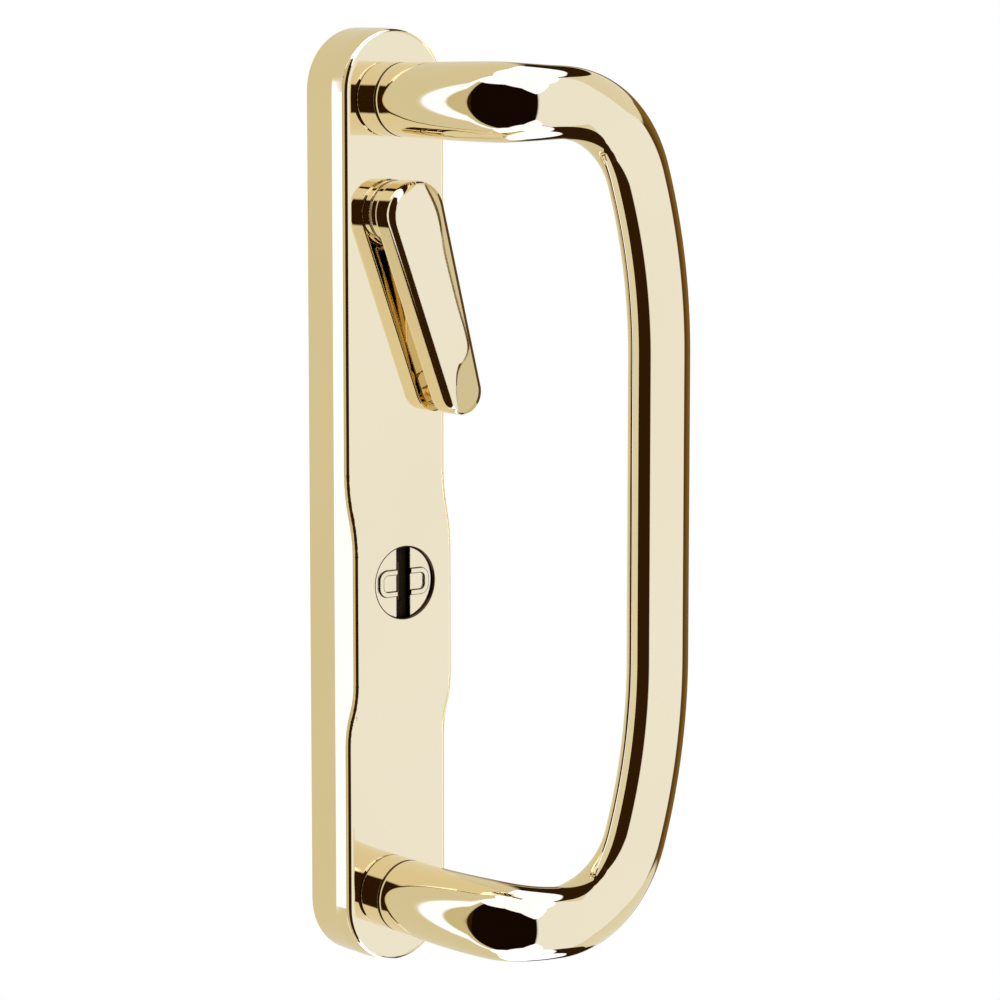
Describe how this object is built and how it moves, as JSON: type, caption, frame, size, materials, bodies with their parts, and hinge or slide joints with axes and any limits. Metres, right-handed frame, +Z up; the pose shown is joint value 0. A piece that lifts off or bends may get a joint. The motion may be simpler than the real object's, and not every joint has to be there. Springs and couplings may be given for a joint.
{
  "type": "patio door handle",
  "caption": "Polished gold patio door pull with a deep round-ended backplate, sideways-cranked D grip, small turning lever and a slotted disc over the lock cylinder.",
  "frame": {"origin": "on the door face, midway between the two fixing holes", "axes": "+Z up along the plate, +Y into the door, so the front faces -Y; +X to the right seen from the front, the side the grip is cranked to"},
  "size_m": [0.0686, 0.073, 0.235],
  "materials": {
    "polished_gold": "mirror-polished gold plate",
    "zinc_plated_steel": "bright zinc plate",
    "spring_steel": "oiled spring steel",
    "hardened_steel": "dark hardened steel",
    "nylon": "natural nylon",
    "black_plastic": "moulded black plastic"
  },
  "bodies": {
    "plate_body": {"backplate": "polished_gold", "pull_handle": "polished_gold", "foot_washers": "zinc_plated_steel", "foot_nuts": "zinc_plated_steel", "lever_bush": "nylon", "lever_wave_washer": "spring_steel", "guard_plate": "hardened_steel", "guard_screws": "zinc_plated_steel", "disc_wave_ring": "spring_steel"},
    "lever_body": {"lever": "polished_gold", "stop_cam": "zinc_plated_steel", "lever_circlip": "spring_steel"},
    "disc_body": {"key_disc": "polished_gold", "key_shutter": "black_plastic"}
  },
  "joints": [
    {"name": "lever_turn", "type": "hinge", "parent": "plate_body", "child": "lever_body", "pos_m": [0, -0.012, 0.072], "axis": [0, -1, 0], "range_deg": [0, 90]},
    {"name": "key_disc_turn", "type": "hinge", "parent": "plate_body", "child": "disc_body", "pos_m": [0, -0.016, -0.02], "axis": [0, -1, 0], "continuous": true}
  ]
}
